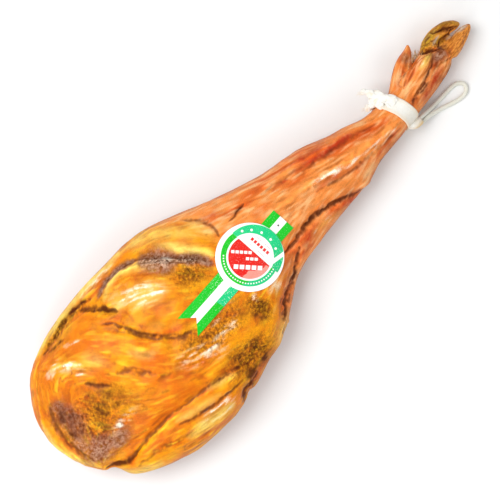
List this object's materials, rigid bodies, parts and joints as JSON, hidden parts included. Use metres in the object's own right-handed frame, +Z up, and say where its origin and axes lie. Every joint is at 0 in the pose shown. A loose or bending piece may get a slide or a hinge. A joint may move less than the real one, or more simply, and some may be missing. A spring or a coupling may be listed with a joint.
{
  "type": "cured ham",
  "caption": "Whole cured shoulder ham with its trotter, lying meat side up, tied at the ankle with cotton tape and a hanging loop, with a round paper seal on a forked ribbon.",
  "frame": {"origin": "centre of the ham's footprint box, on the surface it lies on", "axes": "+X along the ham from the butt to the trotter, +Y across it to the side of the tape's knot, +Z up from the surface to the meat side"},
  "size_m": [0.6914, 0.2308, 0.1058],
  "materials": {
    "cured_meat": "greasy, satin to glossy",
    "cotton_tape": "woven, matte",
    "cotton_cord": "braided, matte",
    "ribbon_paper": "printed, semi-gloss",
    "seal_paper": "printed, semi-gloss"
  },
  "bodies": {
    "root": {"ham": "cured_meat", "tie_band": "cotton_tape", "tie_knot": "cotton_tape", "hanging_loop": "cotton_cord", "label_ribbon": "ribbon_paper", "label_seal": "seal_paper"}
  },
  "joints": []
}
